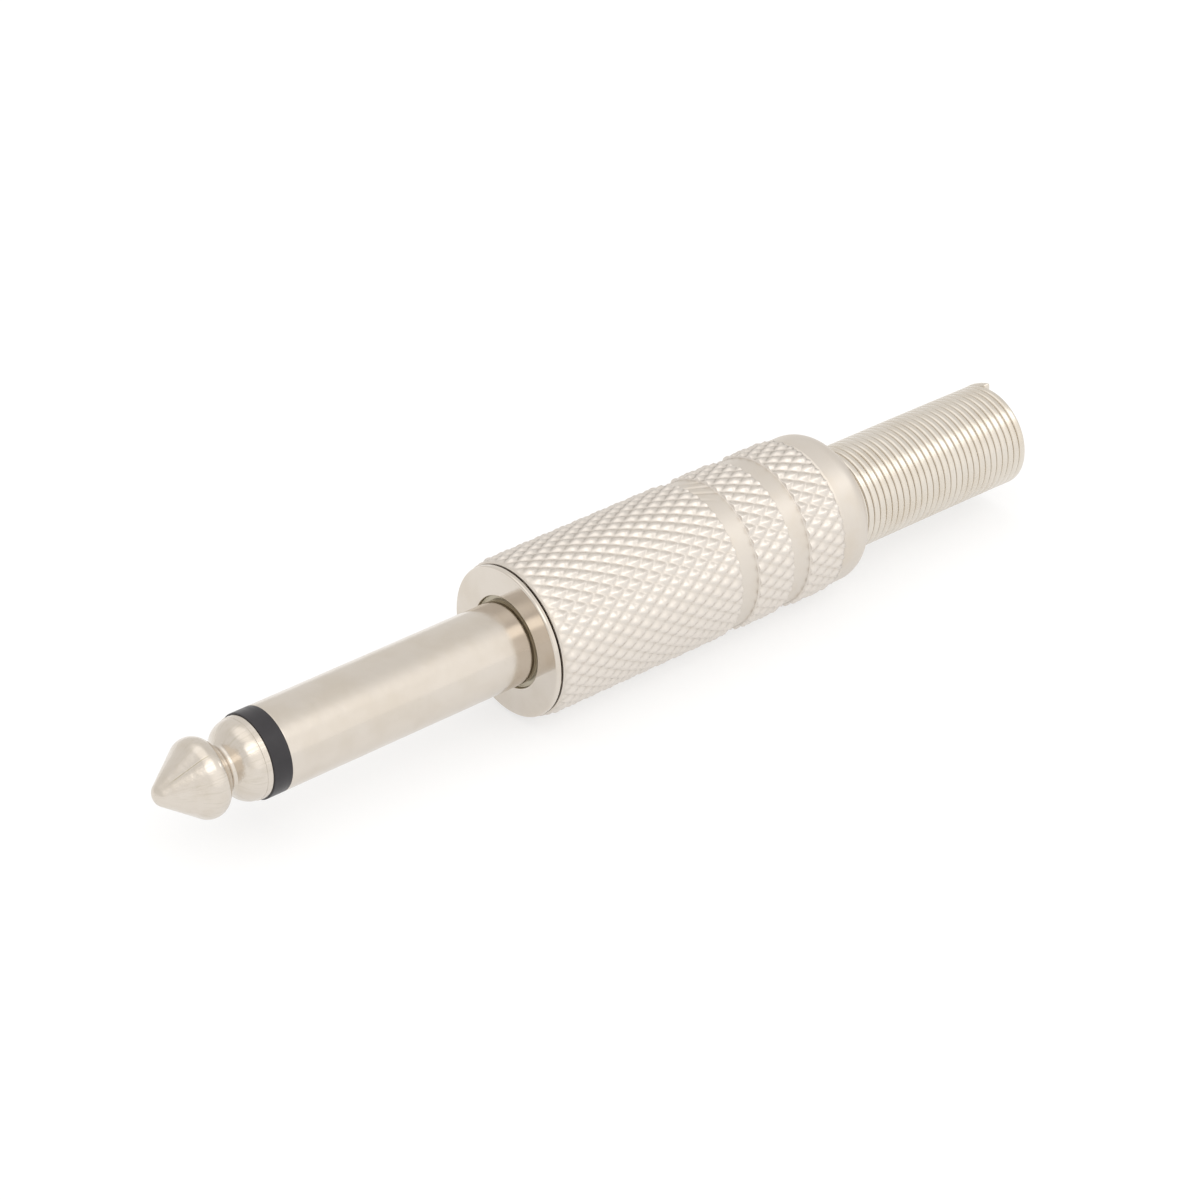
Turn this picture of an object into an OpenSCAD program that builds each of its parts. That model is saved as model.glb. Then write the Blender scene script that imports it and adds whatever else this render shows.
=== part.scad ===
// Mono jack plug: finger with tip and insulating ring, collar, knurled screw-on barrel and relief spring.
// The plug lies along X with its tip towards -X. The origin is on the axis, at the collar's seating face.

/* [Finger] */
// Diameter of the shank and of the insulating ring, set by the socket
shank_d = 6.35; // [6:0.01:6.7]
// Length of the finger from the collar's seating face to the tip's apex
finger_l = 30.25; // [28:0.05:33]
// Wall of the shank's tube
shank_wall = 0.95; // [0.7:0.05:1.1]
// Width of the insulating ring between tip and shank
ring_w = 1.5; // [0.8:0.05:2.5]

/* [Tip] */
// Length of the tip from its apex to the insulating ring
tip_l = 7.7; // [7.4:0.05:8.6]
// Radius of the rounded apex
nose_r = 1; // [0.4:0.05:1.3]
// Largest diameter of the tip's cone
cone_d = 5.88; // [5.4:0.02:6.2]
// Distance from the apex to the cone's widest place
cone_l = 3.63; // [3.2:0.01:4]
// Radius of the rounding at the cone's widest place
cone_round = 0.95; // [0.5:0.05:1.1]
// Diameter of the neck
neck_d = 3.42; // [3:0.02:3.8]
// Distance from the apex to the neck's narrowest place
neck_at = 5.75; // [5.5:0.01:5.9]
// Radius of the hollow round the neck
neck_round = 0.46; // [0.3:0.02:0.6]
// Rounding of the shoulder behind the neck
shoulder_round = 0.7; // [0.4:0.05:0.9]
// Width of the lip against the insulating ring
lip_w = 0.4; // [0.2:0.05:0.6]
// Step from the ring's surface down to the lip
lip_step = 0.11; // [0.02:0.01:0.3]
// How much the lip narrows towards the shoulder
lip_taper = 0.03; // [0.01:0.01:0.05]
// Step from the lip down to the shoulder
shoulder_step = 0.08; // [0.02:0.01:0.2]

/* [Rod] */
// Diameter of the rod that carries the tip's contact to the rear
rod_d = 2.4; // [1.8:0.1:2.8]
// Diameter of the rod's riveted head
rivet_d = 3.8; // [3.2:0.1:4.4]
// Height of the rod's riveted head
rivet_h = 0.6; // [0.4:0.05:0.9]

/* [Collar] */
// Thickness of the flange
flange_t = 0.43; // [0.35:0.01:1]
// Bevel on the flange's front edge
flange_bevel = 0.18; // [0.1:0.01:0.34]
// Length of the collar from its seating face to its rear end
collar_l = 6.4; // [4:0.1:9]
// Gap round the shank in the collar's recess
recess_gap = 0.46; // [0.2:0.02:0.8]
// Depth of the recess, where the shank's shoulder seats
recess_depth = 0.4; // [0.35:0.05:1.4]
// Depth in the recess at which the relief at the shank's root starts
relief_at = 0.1; // [0.05:0.05:0.3]
// Depth of the relief at the shank's root
root_relief = 0.2; // [0.16:0.02:0.2]
// Step from the shank down to its spigot in the collar
spigot_step = 0.375; // [0.3:0.025:0.4]
// Width of the undercut between the flange and the thread
undercut_w = 0.5; // [0.3:0.05:0.8]
// Depth of the undercut
undercut_depth = 0.2; // [0.1:0.05:0.4]
// Lead chamfer on the thread's rear end
thread_lead = 0.35; // [0.1:0.05:0.6]

/* [Solder lugs] */
// Thickness of the lugs' sheet
lug_t = 0.5; // [0.3:0.05:0.8]
// Height of the shank's riveted edge behind the sleeve lug
shank_rivet_h = 0.3; // [0.2:0.05:0.5]
// Width of the shank's riveted edge
shank_rivet_w = 0.3; // [0.15:0.05:0.5]
// Distance from the sleeve lug's disc to the cable clamp
clamp_at = 10.6; // [8:0.1:12]
// Length of the cable clamp
clamp_l = 5; // [3:0.1:5.5]
// How far the cable clamp's ears stand above the axis
clamp_rise = 1; // [0:0.1:2.5]
// Width of the sleeve lug's tongue
tongue_w = 3.8; // [2.6:0.1:5]
// Diameter of the tip lug's disc
tip_lug_d = 5.2; // [4.4:0.1:5.6]
// Length of the tip lug's tongue
tip_tongue_l = 6.1; // [4.5:0.1:8]
// Width of the tip lug's tongue
tip_tongue_w = 2.8; // [2.4:0.1:3.4]
// Diameter of the lugs' solder eyes
eye_d = 1.6; // [1:0.1:1.8]

/* [Insulators] */
// Thickness of the rear bush's shoulder
bush_t = 1.2; // [0.8:0.1:2]
// Length of the rear bush inside the shank
bush_in = 3; // [1.5:0.1:4]
// Wall of the barrel's liner
liner_wall = 0.3; // [0.2:0.05:0.4]
// Gap between the collar and the liner
liner_start = 0.6; // [0.3:0.1:1]
// Gap between the liner and the spring's wider end
liner_stop = 0.9; // [0.4:0.1:3]

/* [Barrel] */
// Wall between the bore and the grooves' floor
barrel_wall = 1; // [0.8:0.05:1.4]
// Width of the plain rim in front of the knurling
rim_w = 0.2; // [0.15:0.05:0.5]
// Bevel of the front rim
rim_bevel = 0.05; // [0.03:0.01:0.1]
// Depth of the countersink at the barrel's mouth
mouth_depth = 0.6; // [0.4:0.05:0.9]
// Distance of the countersink's edge from the rim's outside
mouth_edge = 0.12; // [0.12:0.01:0.3]
// Height of the knurl's pyramids
knurl_h = 0.3; // [0.15:0.01:0.4]
// Number of knurl lines round the barrel, each way
knurl_n = 36; // [24:1:40]
// Length of one diamond along the barrel
knurl_pitch = 1.66; // [1.55:0.01:1.72]
// Diamonds along the long band
long_band = 10; // [8:1:10]
// Diamonds along each short band
short_band = 2; // [1:1:2]
// Width of the smooth grooves between the bands
groove_w = 1.76; // [1.2:0.02:1.9]
// Length of the plain rear part with its rounded end
tail_l = 3.4; // [3:0.05:5]
// Height of the plain rear part above the grooves' floor
tail_step = 0.09; // [0.03:0.01:0.2]
// Radius of the rounded rear end
tail_round = 1.83; // [1.5:0.01:2]
// Length of the throat that holds the spring
throat_l = 2; // [1.6:0.1:2.6]

/* [Spring] */
// Outside diameter of the spring
spring_d = 8.12; // [7.6:0.02:8.6]
// Diameter of the spring's wire
wire_d = 0.6; // [0.5:0.01:0.7]
// Gap between neighbouring turns
turn_gap = 0.018; // [0.01:0.001:0.08]
// Length of the spring that stands out of the barrel
spring_out = 18.03; // [12:0.01:22]
// Turns of the wider end that keeps the spring in the barrel
flare_turns = 2; // [1:1:3]
// How far the wider end reaches over the throat's edge
flare_hold = 0.24; // [0.15:0.01:0.4]
// How far the loose spring lies below the barrel's axis
spring_sag = 0.32; // [0:0.01:0.4]
// How far the wire's cut end stands out from the last turn
end_kick = 0.15; // [0:0.05:0.5]
// Angle of the wire's cut end round the axis, from +Y towards +Z
end_angle = 80; // [0:1:359]

/* [Clearances] */
// Radial gap of pieces that are pressed or riveted together
fit_gap = 0.02; // [0.01:0.005:0.04]
// Radial gap between the collar's thread root and the barrel's bore
thread_gap = 0.05; // [0.03:0.01:0.1]
// Gap between the flange and the barrel's front end
seat_gap = 0.1; // [0.03:0.01:0.15]
// Radial gap between the spring's wider end and the bore
flare_gap = 0.09; // [0.05:0.01:0.2]
// Radial gap under the spring in its throat
throat_gap = 0.04; // [0.02:0.01:0.1]
// Radial gap between the liner and the bore
liner_gap = 0.1; // [0.05:0.01:0.2]
// Radial gap between the sleeve lug and the liner
lug_gap = 0.3; // [0.2:0.05:0.5]
// Radial gap between the rear bush and the sleeve lug's tongue
bush_gap = 0.15; // [0.05:0.05:0.4]

/* [Hidden] */

round_fn = 96;
arc_steps = 8;

nickel = [0.86, 0.84, 0.79];
satin_nickel = [0.83, 0.81, 0.77];
black = [0.16, 0.15, 0.17];
fibre = [0.55, 0.38, 0.22];
clear_film = [0.85, 0.84, 0.78];

// Finger, from the apex back to the collar
shank_r = shank_d/2;
apex_x = -finger_l;
ring_x = apex_x + tip_l;
shank_x = ring_x + ring_w;
shank_bore_r = shank_r - shank_wall;
spigot_r = shank_r - spigot_step;
recess_r = shank_r + recess_gap;
rod_r = rod_d/2;

// Riveted stack behind the collar
lug_x = collar_l;
bush_x = lug_x + lug_t + shank_rivet_h;
tip_lug_x = bush_x + bush_t;
rivet_x = tip_lug_x + lug_t;

// Radii that the spring sets: throat, wider end, bore, thread and barrel
spring_r = spring_d/2;
wire_r = wire_d/2;
spring_pitch = wire_d + turn_gap;
throat_r = spring_r + spring_sag + throat_gap;
flare_r = throat_r + flare_hold;
bore_r = flare_r + flare_gap;
thread_r = bore_r - thread_gap;
core_r = bore_r + barrel_wall;
liner_r = bore_r - liner_gap;
lug_r = liner_r - liner_wall - lug_gap;
lug_d = 2*lug_r;
bush_r = lug_r - lug_t - bush_gap;

// Barrel, from its front end back
knurl_base = 0.01;
valley_r = core_r + knurl_base;
peak_r = valley_r + knurl_h;
band_inner_r = (bore_r + 3*core_r)/4;
tail_r = core_r + tail_step;
barrel_x = flange_t + seat_gap;
band_1_x = barrel_x + rim_w;
band_2_x = band_1_x + long_band*knurl_pitch + groove_w;
band_3_x = band_2_x + short_band*knurl_pitch + groove_w;
tail_x = band_3_x + short_band*knurl_pitch;
tail_relief = 0.02;
barrel_end = tail_x + tail_l;
throat_x = barrel_end - throat_l;
bore_end_x = throat_x - (bore_r - throat_r);

// Spring, from its wider end back to the cut end
spring_x = bore_end_x - (flare_turns + 1)*spring_pitch;
spring_turns = (barrel_end + spring_out - wire_r - spring_x)/spring_pitch;
turn_steps = 14;
wire_sides = 6;
kick_steps = 2;

// A solid of revolution about X from a profile of [radius, x] points
module turned(profile) {
  rotate([0, 90, 0])
    rotate_extrude($fn = round_fn)
      polygon(profile);
}

// A plain tube along X
module tube(x0, x1, r_in, r_out) {
  turned([[r_in, x0], [r_out, x0], [r_out, x1], [r_in, x1]]);
}

// Points of an arc: c is [centre's radius, centre's x, signed arc radius], angles run from outwards to +X
function arc(c, from, to) =
  [for (k = [0:arc_steps])
    let (a = from + (to - from)*k/arc_steps)
      [c[0] + c[2]*cos(a), c[1] + c[2]*sin(a)]];

// Angle of the outward normal of the line that touches two arcs, hollow arcs having a negative radius
function touch_angle(p, q) =
  let (d = [q[0] - p[0], q[1] - p[1]])
    atan2(d[1], d[0]) - acos((p[2] - q[2])/norm(d));

// Tip, rod and riveted head in one turned piece
module tip_contact() {
  shoulder_r = shank_r - lip_step - shoulder_step;
  nose = [0, apex_x + nose_r, nose_r];
  cone = [cone_d/2 - cone_round, apex_x + cone_l, cone_round];
  neck = [neck_d/2 + neck_round, apex_x + neck_at, -neck_round];
  shoulder = [shoulder_r - shoulder_round, ring_x - lip_w, shoulder_round];
  a1 = touch_angle(nose, cone);
  a2 = touch_angle(cone, neck);
  a3 = touch_angle(neck, shoulder);
  lip_r = shank_r - lip_step;
  rivet_dome = rivet_h/3;
  profile = concat(
    arc(nose, -90, a1),
    arc(cone, a1, a2),
    arc(neck, a2, a3),
    arc(shoulder, a3, 0),
    [
      [lip_r - lip_taper, ring_x - lip_w],
      [lip_r, ring_x],
      [rod_r, ring_x],
      [rod_r, rivet_x],
      [rivet_d/2, rivet_x],
      [rivet_d/2, rivet_x + rivet_dome],
      [rivet_d/2 - rivet_dome, rivet_x + rivet_h],
      [0, rivet_x + rivet_h]
    ]
  );
  color(nickel) turned(profile);
}

// Black ring with the tube that lines the shank
module tip_insulator() {
  tube_r = shank_bore_r - fit_gap;
  hole_r = rod_r + fit_gap;
  tube_end = bush_x - bush_in;
  color(black)
    turned([
      [hole_r, ring_x], [shank_r, ring_x], [shank_r, shank_x],
      [tube_r, shank_x], [tube_r, tube_end], [hole_r, tube_end]
    ]);
}

// Sleeve contact: plain shank, relieved shoulder in the collar's recess, spigot and riveted edge
module shank() {
  root_r = shank_r - root_relief;
  rivet_r = spigot_r + shank_rivet_w;
  rivet_from = lug_x + lug_t;
  color(nickel)
    turned([
      [shank_bore_r, shank_x], [shank_r, shank_x], [shank_r, relief_at], [root_r, relief_at],
      [root_r, recess_depth], [spigot_r, recess_depth], [spigot_r, rivet_from], [rivet_r, rivet_from],
      [rivet_r, bush_x - shank_rivet_h/2], [spigot_r, bush_x], [shank_bore_r, bush_x]
    ]);
}

// Flange with bevelled edge and recess, and the part behind it that carries the thread
module collar() {
  hole_r = spigot_r + fit_gap;
  undercut_r = thread_r - undercut_depth;
  undercut_end = flange_t + undercut_w;
  color(nickel)
    turned([
      [recess_r, 0], [core_r - flange_bevel, 0], [core_r, flange_bevel], [core_r, flange_t],
      [undercut_r, flange_t], [undercut_r, undercut_end], [thread_r, undercut_end + undercut_depth],
      [thread_r, collar_l - thread_lead], [thread_r - thread_lead, collar_l],
      [hole_r, collar_l], [hole_r, recess_depth], [recess_r, recess_depth]
    ]);
}

// Shouldered bush that insulates the rod and the tip lug from the shank
module rear_bush() {
  hole_r = rod_r + fit_gap;
  plug_r = shank_bore_r - fit_gap;
  color(fibre)
    turned([
      [hole_r, bush_x - bush_in], [plug_r, bush_x - bush_in], [plug_r, bush_x],
      [bush_r, bush_x], [bush_r, tip_lug_x], [hole_r, tip_lug_x]
    ]);
}

// Disc on the shank's spigot, curved tongue with a solder eye, and the cable clamp's ears, cut from one cup
module sleeve_lug() {
  disc_end = lug_x + lug_t;
  clamp_x = disc_end + clamp_at;
  lug_end = clamp_x + clamp_l;
  eye_x = (disc_end + clamp_x)/2;
  inner_r = lug_r - lug_t;
  hole_r = spigot_r + fit_gap;
  module kept() {
    translate([lug_x - lug_t, -lug_d, -lug_d])
      cube([2*lug_t, 2*lug_d, 2*lug_d]);
    translate([lug_x, -tongue_w/2, -lug_d])
      cube([lug_end - lug_x + lug_t, tongue_w, lug_d]);
    translate([clamp_x, -lug_d, -lug_d])
      cube([clamp_l + lug_t, 2*lug_d, lug_d + clamp_rise]);
  }
  color(nickel)
    difference() {
      intersection() {
        turned([
          [hole_r, lug_x], [lug_r, lug_x], [lug_r, lug_end],
          [inner_r, lug_end], [inner_r, disc_end], [hole_r, disc_end]
        ]);
        kept();
      }
      translate([eye_x, 0, -lug_d])
        cylinder(h = lug_d, d = eye_d, $fn = round_fn);
    }
}

// Disc under the rod's riveted head and the flat tongue with a solder eye
module tip_lug() {
  tongue_end = tip_lug_x + tip_tongue_l;
  end_r = tip_tongue_w/2;
  bend_z = tip_lug_d/2;
  color(nickel) {
    tube(tip_lug_x, tip_lug_x + lug_t, rod_r + fit_gap, tip_lug_d/2);
    translate([tip_lug_x, -end_r, rod_r + fit_gap + lug_t])
      cube([lug_t, tip_tongue_w, bend_z - rod_r - fit_gap - lug_t]);
    translate([0, 0, bend_z - lug_t])
      linear_extrude(lug_t)
        difference() {
          union() {
            translate([tip_lug_x, -end_r])
              square([tip_tongue_l - end_r, tip_tongue_w]);
            translate([tongue_end - end_r, 0])
              circle(r = end_r, $fn = round_fn);
          }
          translate([tongue_end - end_r, 0])
            circle(d = eye_d, $fn = round_fn);
        }
  }
}

// One ring of diamond pyramids: corners lie on the valley lines, and each peak is joined to four corners
module knurl_band(x0, diamonds) {
  rows = 2*diamonds;
  cols = 2*knurl_n;
  inner = (rows + 1)*cols;
  outer_points = [
    for (j = [0:rows], i = [0:cols - 1])
      let (r = (i + j) % 2 == 0 ? valley_r : peak_r, a = 360*i/cols)
        [x0 + j*knurl_pitch/2, r*cos(a), r*sin(a)]
  ];
  inner_points = [
    for (x = [x0, x0 + rows*knurl_pitch/2], i = [0:cols - 1])
      let (a = 360*i/cols)
        [x, band_inner_r*cos(a), band_inner_r*sin(a)]
  ];
  function at(i, j) = j*cols + (i + cols) % cols;
  function root(i, end) = inner + end*cols + i % cols;
  pyramids = [
    for (j = [0:rows], i = [0:cols - 1])
      if ((i + j) % 2 == 1)
        each concat(
          j < rows ? [[at(i, j), at(i, j + 1), at(i + 1, j)], [at(i, j), at(i - 1, j), at(i, j + 1)]] : [],
          j > 0 ? [[at(i, j), at(i + 1, j), at(i, j - 1)], [at(i, j), at(i, j - 1), at(i - 1, j)]] : []
        )
  ];
  walls = [
    for (i = [0:cols - 1])
      each [
        [at(i, 0), at(i + 1, 0), root(i + 1, 0), root(i, 0)],
        [at(i + 1, rows), at(i, rows), root(i, 1), root(i + 1, 1)],
        [root(i, 0), root(i + 1, 0), root(i + 1, 1), root(i, 1)]
      ]
  ];
  polyhedron(concat(outer_points, inner_points), concat(pyramids, walls));
}

// Turned shell with countersunk mouth, bore, throat and rounded rear end, and its three knurled bands
module barrel() {
  round_x = barrel_end - sqrt(tail_round^2 - (throat_r - tail_r + tail_round)^2);
  rear = [tail_r - tail_round, round_x, tail_round];
  rear_angle = acos((throat_r - rear[0])/tail_round);
  color(satin_nickel) {
    turned(concat(
      [
        [bore_r, barrel_x + mouth_depth], [core_r - mouth_edge, barrel_x],
        [core_r - rim_bevel, barrel_x], [core_r, barrel_x + rim_bevel],
        [core_r, tail_x + tail_relief], [tail_r, tail_x + tail_relief + tail_step]
      ],
      arc(rear, 0, rear_angle),
      [[throat_r, throat_x], [bore_r, bore_end_x]]
    ));
    knurl_band(band_1_x, long_band);
    knurl_band(band_2_x, short_band);
    knurl_band(band_3_x, short_band);
  }
}

// Insulating tube in the barrel round the solder joints
module liner() {
  liner_x = collar_l + liner_start;
  liner_end = spring_x - wire_r - liner_stop;
  color(clear_film)
    tube(liner_x, liner_end, liner_r - liner_wall, liner_r);
}

// Radius of the coil's centre line after a number of turns: wide end, one turn of taper, then plain
function coil_r(t) =
  let (taper = max(0, min(1, t - flare_turns)))
    flare_r - wire_r - taper*(flare_r - spring_r);

// Height of the coil's centre after a number of turns: centred in the bore, then lying in the throat
function coil_z(t) = -spring_sag*max(0, min(1, t - flare_turns));

// Close-wound round wire, swept as one tube along a right-hand helix
module relief_spring() {
  rings = floor(spring_turns*turn_steps);
  points = [
    for (k = [0:rings], s = [0:wire_sides - 1])
      let (
        back = (rings - k)/turn_steps,
        t = spring_turns - back,
        a = end_angle - 360*back,
        kick = end_kick*pow(max(0, 1 - (rings - k)/kick_steps), 2),
        w = 360*s/wire_sides,
        r = coil_r(t) + kick + wire_r*cos(w)
      )
        [spring_x + t*spring_pitch + wire_r*sin(w), r*cos(a), r*sin(a) + coil_z(t)]
  ];
  function at(k, s) = k*wire_sides + s % wire_sides;
  sides = [
    for (k = [0:rings - 1], s = [0:wire_sides - 1])
      each [
        [at(k, s), at(k, s + 1), at(k + 1, s + 1)],
        [at(k, s), at(k + 1, s + 1), at(k + 1, s)]
      ]
  ];
  first_end = [for (s = [wire_sides - 1:-1:0]) at(0, s)];
  last_end = [for (s = [0:wire_sides - 1]) at(rings, s)];
  color(nickel) polyhedron(points, concat(sides, [first_end, last_end]));
}

tip_contact();
tip_insulator();
shank();
collar();
rear_bush();
sleeve_lug();
tip_lug();
barrel();
liner();
relief_spring();
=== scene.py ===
"""Looks of the mono jack plug: turned, knurled, threaded and coiled surfaces, finishes and studio."""
import math

import bpy
import numpy as np
from mathutils import Matrix, Vector


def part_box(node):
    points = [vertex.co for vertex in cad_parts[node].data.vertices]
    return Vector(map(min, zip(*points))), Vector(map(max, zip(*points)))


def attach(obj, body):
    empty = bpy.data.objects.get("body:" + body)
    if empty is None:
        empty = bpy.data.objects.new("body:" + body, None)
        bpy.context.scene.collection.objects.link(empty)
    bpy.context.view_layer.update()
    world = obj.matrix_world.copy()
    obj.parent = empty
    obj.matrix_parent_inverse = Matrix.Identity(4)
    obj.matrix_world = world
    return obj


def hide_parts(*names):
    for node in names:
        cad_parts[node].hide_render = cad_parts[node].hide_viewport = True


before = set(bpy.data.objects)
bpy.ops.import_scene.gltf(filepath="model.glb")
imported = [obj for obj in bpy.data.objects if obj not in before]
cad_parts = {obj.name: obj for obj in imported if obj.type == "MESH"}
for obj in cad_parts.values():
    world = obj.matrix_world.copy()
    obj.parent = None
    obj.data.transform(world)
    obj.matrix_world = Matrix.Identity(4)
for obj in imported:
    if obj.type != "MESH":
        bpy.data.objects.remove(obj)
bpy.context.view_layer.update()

# All sizes below are in mm. Places along the plug come from the frame.
MM = 0.001
TURN = 2*math.pi
# Columns round plainly turned pieces, and round those that show most
PLAIN_TURN = 192
FINE_TURN = 224


def reach(node):
    """Front end, rear end and outer radius of a node about the X axis, in mm."""
    low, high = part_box(node)
    return low.x/MM, high.x/MM, max(high.y, high.z)/MM


apex_x, rivet_end, lip_r = reach("tip_contact")
ring_x, tube_end, shank_r = reach("tip_insulator")
shank_x, shank_end, _ = reach("shank")
face_x, collar_end, flange_r = reach("collar")
barrel_x, barrel_end, peak_r = reach("barrel")
_, spring_end, _ = reach("relief_spring")

# Tip: apex, cone, neck, shoulder and lip
nose_r = 1.0
cone_r = 2.94
cone_l = 3.72
cone_round = 1.2
neck_r = 1.75
neck_at = 5.4
neck_round = 0.28
shoulder_r = 2.985
shoulder_round = 1.55
lip_w = 0.45
lip_taper = 0.03
# Scratch down the cone: angle, half its width, and how far from the apex it rises and fades; then the grain
# of the patches that break it, their range, and the strengths that it runs between
scratch_angle = math.radians(119)
scratch_half = (0.02, 0.07)
scratch_rise = (0.9, 1.4)
scratch_fade = (3.3, 3.9)
scratch_grain = 2.5
scratch_breaks = (0.25, 0.55)
scratch_strength = (0.35, 0.9)
# Rod and its riveted head
rod_r = 1.2
rivet_r = 1.9
rivet_h = 0.6

# Shank, insulating ring and collar
shank_bore_r = 2.225
spigot_r = 2.8
rivet_edge_r = 3.1
rivet_edge_h = 0.3
recess_r = 3.53
recess_depth = 0.32
# Painted shade of the recess: how far past its wall it reaches, and how deep it is full
recess_shade_past = 0.01
recess_shade_depth = 0.08
# Relief at the shank's root, and the gap between pieces that fit
relief_at = 0.16
root_relief = 0.05
fit_gap = 0.02
# Collar's flange and the undercut behind it
flange_t = 0.39
flange_round = 0.17
undercut_r = 4.5
undercut_end = 0.93

# Right-hand thread of collar and barrel: its sizes, and the share of its wave cut flat at crests and at roots
thread_pitch = 0.5
thread_root_r = 4.7
thread_depth = 0.29
thread_flat = 0.15
# Collar's thread: where it is full, the share of its lead-in over which the core rises, and rows to a turn
thread_full = (1.3, 5.7)
core_lead = 0.35
collar_rows = 12
# Barrel's thread: bore, where it ends, the ramp there, its entry chamfer at the mouth, and rows to a turn
bore_r = 4.75
nut_stop = 6.6
nut_ramp = 0.6
nut_entry = 0.3
nut_rows = 8

# Barrel: rim, knurled bands, grooves and rounded tail
rim_r = 5.86
groove_r = 5.75
valley_r = 5.76
rim_w = 0.2
rim_bevel = 0.09
mouth_edge = 0.24
mouth_depth = 0.6
band_l = 16.6
short_band_l = 3.32
groove_w = 1.76
groove_rows = 15
# Wall at a band's end: its foot, a row that keeps the groove flat, and its top with the knurl's weight there
band_wall = 0.06
row_margin = 0.03
wall_top = 0.02
wall_weight = 0.85
# Tail: gap behind the last band, rise, margin, radius, rounding, steps, and degrees left to the throat's edge
tail_gap = 0.12
tail_rise = 0.09
tail_margin = 0.04
tail_r = 5.84
tail_round = 1.83
tail_steps = 28
tail_stop = 4
# Throat, and the edge where the tail's face turns into it
throat_r = 4.42
throat_l = 2.0
throat_flare = 0.3
throat_edge = 0.1

# Knurl: lines each way, length of a diamond, grid steps on half a diamond, the share of a step that rows keep
# from the band's ends, and where one lump's cell lies
knurl_n = 36
knurl_pitch = 1.698
knurl_steps = 5
knurl_clear = 0.2
knurl_x = 9.12
knurl_angle = math.radians(1.31)
# How far the rows lean round the axis for each mm
knurl_lean = math.radians(0.155)
# Lumps' shape: softness of the lines, power of the mean, roundness of the top, place of the ridge between its
# valleys, and the way over which they rise at the rim from a least height
knurl_soft = 0.012
knurl_power = 4
knurl_blunt = 0.34
knurl_ridge = 0.4
knurl_lead = 0.5
knurl_least = 0.3
# Painted shade and dirt between the lumps: its most, the height that it reaches and its power; then the
# lumps' burnish
valley_shade_and_dirt = 0.3
shade_and_dirt_height = 0.24
shade_and_dirt_power = 1.5
burnish_gain = 2
# Stray lines in the first groove: depth, the middle and half width in degrees of where they show, and the
# height of the knurl's wave at which a line ends
stray_depth = 0.14
stray_at = 84
stray_reach = 27
stray_width = 0.4

# Relief spring: coil and wire, wide end in the barrel, how it hangs in the throat, and the kicked-out cut end
spring_r = 4.06
wire_r = 0.3
spring_pitch = 0.618
flare_r = 4.66
flare_turns = 2
spring_sag = 0.34
spring_droop = 0.14
end_kick = 0.1
end_angle = math.radians(80)
kick_turns = 1/7
# Wire: steps round a turn and round its section, the section's flattening power, and sides of the CAD's wire
turn_steps = 72
wire_sides = 24
wire_flat = 0.62
cad_wire_sides = 6
# Cut end: its rounding as a share of the wire's radius, the degrees of arc that are made, and their steps
cut_round = 0.4
cut_arc = 84
cut_steps = 7
# Most of a profile's shorter side that a rounding may take, and most of what is left that its margin may take
CUT_SHARE = 0.4
MARGIN_SHARE = 0.45


def rounded(corners, steps=6, margin=0.02, open_ends=None):
    """Profile through corners [r, x, rounding]: an arc that touches both sides takes each corner's place.

    The arc's centre lies on the corner's bisector, and a row at a small margin beyond each end of the arc
    keeps the flat next to it flat in the shading. The profile closes on itself unless the two points are
    given that it comes from and goes to."""
    corners = np.asarray(corners, float)
    places, size = corners[:, :2], corners[:, 2]
    ahead, behind = np.roll(places, -1, axis=0), np.roll(places, 1, axis=0)
    if open_ends:
        behind[0], ahead[-1] = open_ends
    profile = []
    for k, corner in enumerate(places):
        sides = np.array([behind[k], ahead[k]]) - corner
        lengths = np.linalg.norm(sides, axis=1)
        to_last, to_next = sides/lengths[:, None]
        half = math.acos(np.clip(to_last @ to_next, -1, 1))/2
        cut = min(size[k]/math.tan(half), CUT_SHARE*lengths.min())
        radius = cut*math.tan(half)
        bisector = (to_last + to_next)/np.linalg.norm(to_last + to_next)
        centre = corner + bisector*radius/math.sin(half)
        start, end = corner + to_last*cut - centre, corner + to_next*cut - centre
        swing = math.pi - 2*half
        t = np.linspace(0, 1, steps + 1)[:, None]
        arc = centre + (np.sin((1 - t)*swing)*start + np.sin(t*swing)*end)/math.sin(swing)
        spare = np.minimum(margin, MARGIN_SHARE*(lengths - cut))
        profile += [corner + to_last*(cut + spare[0]), *arc, corner + to_next*(cut + spare[1])]
    return np.array(profile)


def arc(centre, radius, start, end, steps=24):
    """Arc of a profile about [r, x]: its angle runs from outwards to +X; a hollow has a negative radius."""
    a = np.radians(np.linspace(start, end, steps + 1))
    return np.column_stack([centre[0] + radius*np.cos(a), centre[1] + radius*np.sin(a)])


def touch_angle(first, second):
    """Angle of the outward normal of the line that touches two arcs given as [r, x, signed radius]."""
    across = np.subtract(second[:2], first[:2])
    lean = math.acos((first[2] - second[2])/np.linalg.norm(across))
    return math.degrees(math.atan2(across[1], across[0]) - lean)


def turn_angles(x, columns, start=0.0):
    """Even angles round the X axis for each row, from a start that may differ from row to row."""
    return np.reshape(start, (-1, 1)) + np.broadcast_to(TURN*np.arange(columns)/columns, (len(x), columns))


def turn_points(x, r, a):
    """Point (x, r cos a, r sin a) for each row and each of its angles a; r may change along a row."""
    r = np.broadcast_to(r if np.ndim(r) == 2 else np.asarray(r)[:, None], a.shape)
    x = np.broadcast_to(np.asarray(x)[:, None], a.shape)
    return np.stack([x, r*np.cos(a), r*np.sin(a)], axis=-1)


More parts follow.
